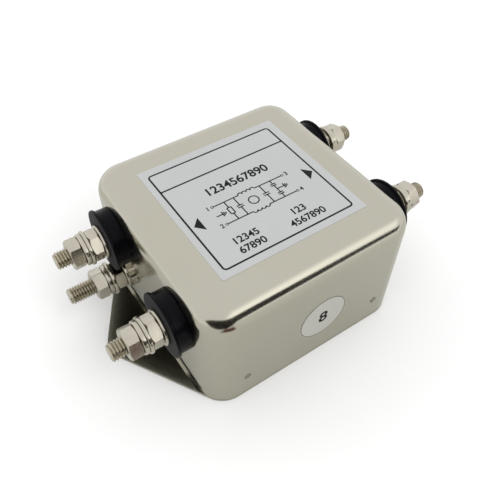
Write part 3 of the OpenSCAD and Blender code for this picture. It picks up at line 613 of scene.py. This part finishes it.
def flat_card(length, width, middle, way=(0, 0, 1)):
    """A bmesh of a flat card that looks along a direction."""
    bm = bmesh.new()
    bm.loops.layers.uv.new("UV")
    bmesh.ops.create_grid(bm, x_segments=1, y_segments=1, size=0.5, calc_uvs=True)
    bmesh.ops.scale(bm, vec=(length, width, 1), verts=bm.verts)
    bmesh.ops.rotate(bm, cent=(0, 0, 0), verts=bm.verts,
                     matrix=Vector(way).to_track_quat("Z", "Y").to_matrix())
    bmesh.ops.translate(bm, vec=middle, verts=bm.verts)
    return bm


def staged(bm, name, mat, only_in_metal=True):
    """Puts a bmesh on the stage, where it may show in the metal only."""
    mesh = bpy.data.meshes.new(name)
    bm.to_mesh(mesh)
    bm.free()
    obj = bpy.data.objects.new(name, mesh)
    bpy.context.collection.objects.link(obj)
    mesh.materials.append(mat)
    for ray in ("camera", "diffuse", "shadow", "transmission", "volume_scatter"):
        setattr(obj, f"visible_{ray}", not only_in_metal)


floor_finish = finish("white_floor", tone(252, 252, 252), tone(250, 250, 250), smooth=0.7,
                      rough=0.8, Specular_IOR_Level=0)
staged(flat_card(8, 8, (0, 0, -0.05 * MM)), "floor", floor_finish, only_in_metal=False)

# The bright card's light fades out to all its sides
glow = bpy.data.materials.new("bright_card")
glow.use_nodes = True
tree = glow.node_tree
tree.nodes.clear()
where, centred, round_fade, fade, clear, light, mix, out = (
    tree.nodes.new(f"ShaderNode{kind}") for kind in (
        "TexCoord", "Mapping", "TexGradient", "MapRange", "BsdfTransparent", "Emission",
        "MixShader", "OutputMaterial"))
centred.inputs["Location"].default_value = (-1, -1, 0)
centred.inputs["Scale"].default_value = (2, 2, 0)
round_fade.gradient_type = "SPHERICAL"
fade.interpolation_type = "SMOOTHSTEP"
light.inputs["Color"].default_value = (1, 0.99, 0.97, 1)
light.inputs["Strength"].default_value = 1.7
for start, end in [(where.outputs["UV"], centred.inputs["Vector"]),
                   (centred.outputs[0], round_fade.inputs[0]),
                   (round_fade.outputs["Fac"], fade.inputs["Value"]),
                   (fade.outputs["Result"], mix.inputs["Fac"]),
                   (clear.outputs[0], mix.inputs[1]), (light.outputs[0], mix.inputs[2]),
                   (mix.outputs[0], out.inputs["Surface"])]:
    tree.links.new(start, end)
dark_cloth = finish("dark_cloth", tone(30, 22, 18), tone(22, 17, 14), smooth=0.8, rough=0.9)
grey_cloth = finish("grey_cloth", tone(222, 222, 218), tone(216, 216, 212), smooth=0.8, rough=0.9)
brown_cloth = finish("brown_cloth", tone(92, 48, 38), tone(80, 40, 32), smooth=0.8, rough=0.9)
for name, mat, length, width, middle, way in (
        ("bright_card", glow, 2, 0.7, (0.33, -0.75, 0.43), (-0.37, 0.8, -0.44)),
        ("ear_card", grey_cloth, 0.018, 0.075, (-0.0422, 0.0075, 0.0022), (0, 0, 1)),
        ("grey_card", grey_cloth, 0.5, 0.42, (0.07, 0, 0.0001), (0, 0, 1)),
        ("brown_card", brown_cloth, 0.045, 0.055, (-0.036, -0.1025, 0.0002), (0, 0, 1))):
    staged(flat_card(length, width, middle, way), name, mat)
screen = bmesh.new()
screen_posts = (
    (0.18, -0.13, 0.046, 0.049), (0.12, -0.13, 0.038, 0.06), (0.06, -0.13, 0.031, 0.068),
    (0.01, -0.13, 0.027, 0.073), (-0.03, -0.13, 0.012, 0.076), (-0.06, -0.13, 0, 0.08),
    (-0.1, -0.115, 0, 0.085), (-0.13, -0.09, 0.015, 0.08), (-0.15, -0.06, 0.045, 0.06))
posts = [[screen.verts.new((x, y, z)) for z in (foot, head)] for x, y, foot, head in screen_posts]
for left_post, right_post in zip(posts, posts[1:]):
    screen.faces.new((*left_post, *reversed(right_post)))
staged(screen, "dark_screen", dark_cloth)

for name, spot, size, watts in (("front_softbox", (0.25, -0.75, 0.95), 0.7, 3.2),
                                ("far_softbox", (-0.5, 0.9, 0.8), 0.6, 1.5)):
    lamp = bpy.data.lights.new(name, "AREA")
    lamp.shape, lamp.size, lamp.energy = "SQUARE", size, watts
    holder = bpy.data.objects.new(name, lamp)
    holder.location = spot
    holder.rotation_mode = "QUATERNION"
    holder.rotation_quaternion = Vector(spot).to_track_quat("Z", "Y")
    holder.visible_glossy = False
    bpy.context.collection.objects.link(holder)

world = bpy.data.worlds.new("studio")
world.use_nodes = True
bpy.context.scene.world = world
tree = world.node_tree
tree.nodes.clear()
path, both, all_three, seen, soft, mix, out = (
    tree.nodes.new(f"ShaderNode{kind}") for kind in (
        "LightPath", "Math", "Math", "Background", "Background", "MixShader", "OutputWorld"))
for backdrop, strength in ((seen, 1), (soft, 0.95)):
    backdrop.inputs["Color"].default_value = (1, 1, 1, 1)
    backdrop.inputs["Strength"].default_value = strength
both.operation = all_three.operation = "MAXIMUM"
for start, end in [(path.outputs["Is Camera Ray"], both.inputs[0]),
                   (path.outputs["Is Glossy Ray"], both.inputs[1]),
                   (both.outputs[0], all_three.inputs[0]),
                   (path.outputs["Is Transmission Ray"], all_three.inputs[1]),
                   (all_three.outputs[0], mix.inputs["Fac"]), (soft.outputs[0], mix.inputs[1]),
                   (seen.outputs[0], mix.inputs[2]), (mix.outputs[0], out.inputs["Surface"])]:
    tree.links.new(start, end)

# The camera stands where the photographer's did: above the line end's near corner, close by.
camera = bpy.data.objects.new("camera", bpy.data.cameras.new("camera"))
bpy.context.collection.objects.link(camera)
camera.data.sensor_width, camera.data.lens = 36, 41.823
camera.data.clip_start, camera.data.clip_end = 0.01, 20
azimuth, elevation, roll = (math.radians(a) for a in (-34.311, 48.662, 0.476))
stand = Vector((-63.69, -91.48, 143.08)) * MM
level = Vector((math.cos(azimuth), math.sin(azimuth), 0))
back = Vector((math.sin(azimuth) * math.cos(elevation), -math.cos(azimuth) * math.cos(elevation),
               math.sin(elevation)))
upward = back.cross(level)
across, upward = (math.cos(roll) * level + math.sin(roll) * upward,
                  math.cos(roll) * upward - math.sin(roll) * level)
camera.matrix_world = Matrix.Translation(stand) @ Matrix(
    (across, upward, back)).transposed().to_4x4()
bpy.context.scene.camera = camera
bpy.context.scene.view_settings.view_transform = "Standard"
